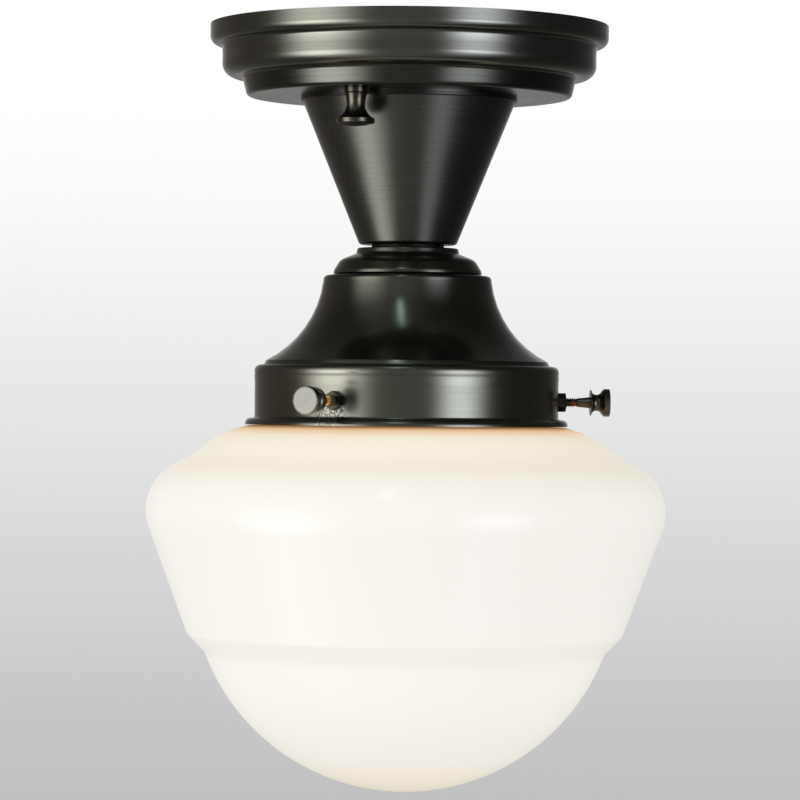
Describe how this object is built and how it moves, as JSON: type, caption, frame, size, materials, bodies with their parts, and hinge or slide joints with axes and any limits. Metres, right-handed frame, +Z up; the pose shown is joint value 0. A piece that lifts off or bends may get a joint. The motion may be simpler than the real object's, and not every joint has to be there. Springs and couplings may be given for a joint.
{
  "type": "semi flush ceiling light",
  "caption": "Semi flush ceiling light: stepped canopy, tapered cone, bell-shaped glass holder and a lit opal glass globe held at its lip by thumb screws.",
  "frame": {"origin": "on the light's axis in the plane of the ceiling: the centre of the crossbar's box slots, on its upper face", "axes": "+Z up along the light's axis, away from the glass; +Y along the crossbar, so the front canopy knob is towards -Y"},
  "size_m": [0.1893, 0.1892, 0.279],
  "materials": {
    "canopy_bronze": "satin dark pewter bronze, faint spin lines",
    "holder_bronze": "semi-gloss brown-black bronze",
    "screw_bronze": "semi-gloss dark bronze, worn to copper on the shafts",
    "opal_glass": "glossy opal, lit from inside",
    "zinc_steel": "zinc plated",
    "green_enamel": "green dyed zinc",
    "brass": "plain",
    "porcelain": "white glaze",
    "black_insulation": "plain",
    "white_insulation": "plain",
    "green_insulation": "plain",
    "orange_plastic": "ribbed",
    "frosted_glass": "frosted, lit",
    "lamp_aluminium": "rolled thread",
    "black_glass": "black insulating glass",
    "solder": "dull solder"
  },
  "bodies": {
    "fixture": {"crossbar": "zinc_steel", "canopy_studs": "zinc_steel", "stud_lock_nuts": "zinc_steel", "ground_screw": "green_enamel", "canopy": "canopy_bronze", "cone": "canopy_bronze", "stem_nipple": "zinc_steel", "canopy_lock_washer": "zinc_steel", "canopy_locknut": "zinc_steel", "gap_spacer": "holder_bronze", "neck_cap": "holder_bronze", "fitter": "holder_bronze", "fitter_screw_nuts": "holder_bronze", "fitter_washer": "zinc_steel", "fitter_locknut": "zinc_steel", "socket_cap": "brass", "socket_body": "porcelain", "socket_shell": "brass", "socket_contact": "brass", "hot_lead": "black_insulation", "neutral_lead": "white_insulation", "ground_lead": "green_insulation", "wire_connectors": "orange_plastic"},
    "thumb_screw_1": {"thumb_screw_1": "screw_bronze"},
    "thumb_screw_2": {"thumb_screw_2": "screw_bronze"},
    "thumb_screw_3": {"thumb_screw_3": "screw_bronze"},
    "canopy_knob_front": {"canopy_knob_front": "screw_bronze"},
    "canopy_knob_rear": {"canopy_knob_rear": "screw_bronze"},
    "globe": {"globe": "opal_glass"},
    "bulb": {"bulb_envelope": "frosted_glass", "bulb_base": "lamp_aluminium", "bulb_insulator": "black_glass", "bulb_contact": "solder"}
  },
  "joints": [
    {"name": "thumb_screw_1_slide", "type": "slide", "parent": "fixture", "child": "thumb_screw_1", "axis": [-0.0698, -0.9976, 0], "range_m": [-0.0054, 0.0026]},
    {"name": "thumb_screw_2_slide", "type": "slide", "parent": "fixture", "child": "thumb_screw_2", "axis": [0.8988, 0.4384, 0], "range_m": [-0.002, 0.006]},
    {"name": "thumb_screw_3_slide", "type": "slide", "parent": "fixture", "child": "thumb_screw_3", "axis": [-0.829, 0.5592, 0], "range_m": [-0.002, 0.006]},
    {"name": "canopy_knob_front_slide", "type": "slide", "parent": "fixture", "child": "canopy_knob_front", "axis": [0, 0, -1], "range_m": [0, 0.012]},
    {"name": "canopy_knob_rear_slide", "type": "slide", "parent": "fixture", "child": "canopy_knob_rear", "axis": [0, 0, -1], "range_m": [0, 0.012]},
    {"name": "globe_slide", "type": "slide", "parent": "fixture", "child": "globe", "axis": [0, 0, -1], "range_m": [0, 0.11]},
    {"name": "bulb_slide", "type": "slide", "parent": "fixture", "child": "bulb", "axis": [0, 0, -1], "range_m": [0, 0.028]}
  ]
}
